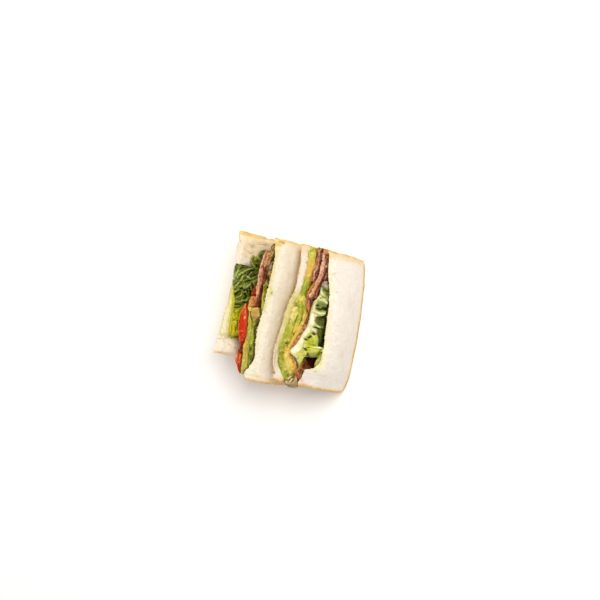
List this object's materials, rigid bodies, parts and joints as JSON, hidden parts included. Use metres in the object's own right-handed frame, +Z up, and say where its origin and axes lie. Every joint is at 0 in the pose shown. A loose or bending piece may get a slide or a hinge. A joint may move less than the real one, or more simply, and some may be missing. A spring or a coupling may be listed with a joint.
{
  "type": "blt sandwich",
  "caption": "Bacon, lettuce, tomato and avocado sandwich on white bread, cut in halves that stand together with the cut faces up.",
  "frame": {"origin": "centre of the sandwich's footprint box, on the surface it stands on", "axes": "+X across the layers, towards the outer slice of the right half; +Y along the slices; +Z up, the way the cut faces look"},
  "size_m": [0.115, 0.1162, 0.0475],
  "materials": {
    "bread": "soft white crumb, thin pale golden crust",
    "leaf_green": "crinkled dark green leaf, satin",
    "leaf_pale": "pale green leaf with a whitish rib, satin",
    "tomato": "wet orange-red flesh",
    "bacon": "fried, brown lean and pinkish fat, greasy",
    "avocado": "buttery flesh, green at the rim and yellow inside"
  },
  "bodies": {
    "root": {"a_bread_left": "bread", "a_bread_right": "bread", "b_bread_left": "bread", "b_bread_right": "bread", "a_lettuce": "leaf_green", "a_lettuce_curl": "leaf_green", "a_leaf_dark": "leaf_green", "b_leaf_end": "leaf_green", "b_lettuce_ribbed": "leaf_pale", "b_lettuce_frilled": "leaf_pale", "b_lettuce_folded": "leaf_pale", "a_tomato_far": "tomato", "a_tomato_middle": "tomato", "a_tomato_near": "tomato", "b_tomato": "tomato", "a_bacon": "bacon", "b_bacon_left": "bacon", "b_bacon_right": "bacon", "b_bacon_middle": "bacon", "b_bacon_near": "bacon", "a_avocado_chunk": "avocado", "a_avocado_left": "avocado", "a_avocado_right": "avocado", "b_avocado_far": "avocado", "b_avocado_middle": "avocado", "b_avocado_near": "avocado"}
  },
  "joints": []
}
